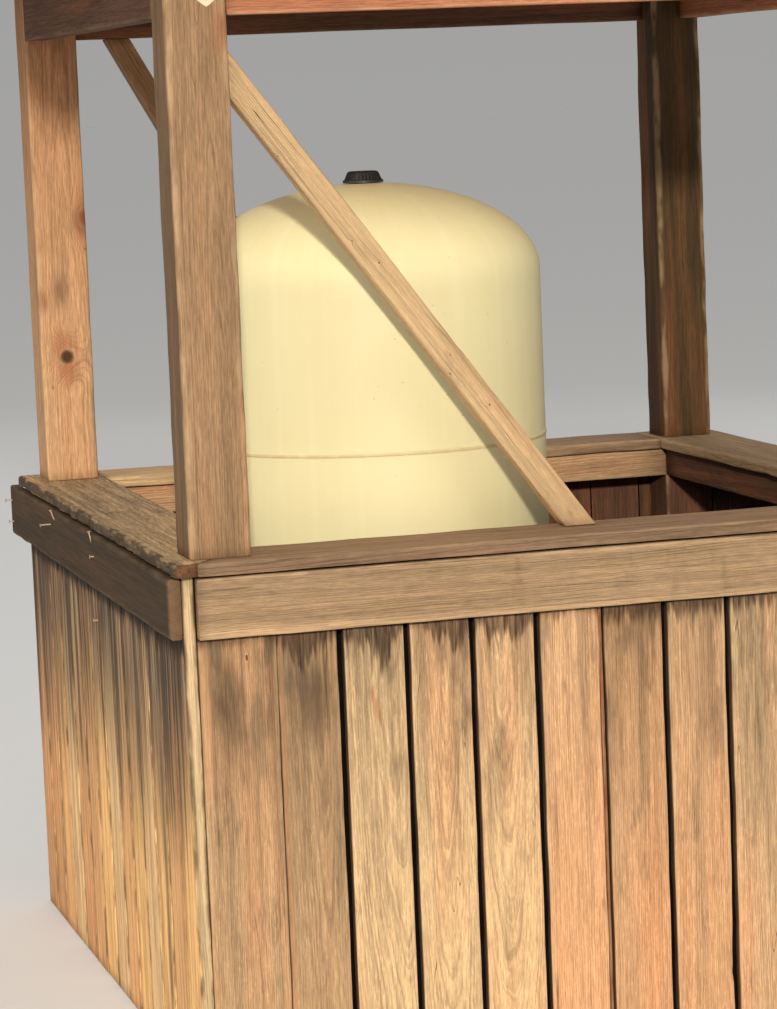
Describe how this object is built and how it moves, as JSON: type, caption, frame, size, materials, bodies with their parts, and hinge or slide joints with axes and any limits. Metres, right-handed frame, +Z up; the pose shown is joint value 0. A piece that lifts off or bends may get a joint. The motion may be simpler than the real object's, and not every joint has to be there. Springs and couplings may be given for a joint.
{
  "type": "water tank shelter",
  "caption": "Boarded timber box with cap boards, upper posts, diagonal braces and a plank roof, around a domed steel water pressure tank.",
  "frame": {"origin": "on the ground at the plan centre, under the middle of the roof", "axes": "+Z up, the boarded front with the diagonal brace faces -Y, +X to the right seen from the front"},
  "size_m": [1.679, 1.539, 1.707],
  "materials": {
    "wall_wood": "rough-sawn, weathered",
    "trim_wood": "weathered grey-brown",
    "frame_wood": "rough-sawn, stained",
    "brace_wood": "bare, knotty",
    "roof_wood": "weathered",
    "tank_paint": "satin cream paint",
    "base_paint": "matte dark paint",
    "black_plastic": "matte"
  },
  "bodies": {
    "root": {"lower_post_front_left": "frame_wood", "lower_post_front_right": "frame_wood", "lower_post_back_left": "frame_wood", "lower_post_back_right": "frame_wood", "upper_post_front_left": "frame_wood", "upper_post_front_right": "frame_wood", "upper_post_back_left": "frame_wood", "upper_post_back_right": "frame_wood", "front_wall": "wall_wood", "back_wall": "wall_wood", "left_wall": "wall_wood", "right_wall": "wall_wood", "front_fascia": "trim_wood", "back_fascia": "trim_wood", "left_fascia": "trim_wood", "right_fascia": "trim_wood", "front_cap": "trim_wood", "back_cap": "trim_wood", "left_cap": "trim_wood", "right_cap": "trim_wood", "front_beam": "frame_wood", "back_beam": "frame_wood", "left_beam": "frame_wood", "right_beam": "frame_wood", "front_brace": "brace_wood", "back_brace": "frame_wood", "rafter_left_outer": "frame_wood", "rafter_left_inner": "frame_wood", "rafter_right_inner": "frame_wood", "rafter_right_outer": "frame_wood", "roof_deck": "roof_wood", "tank_bottom": "tank_paint", "tank_lower_shell": "tank_paint", "tank_upper_shell": "tank_paint", "tank_dome": "tank_paint", "tank_seam_band": "tank_paint", "tank_base_ring": "base_paint", "tank_valve_cap": "black_plastic"}
  },
  "joints": []
}
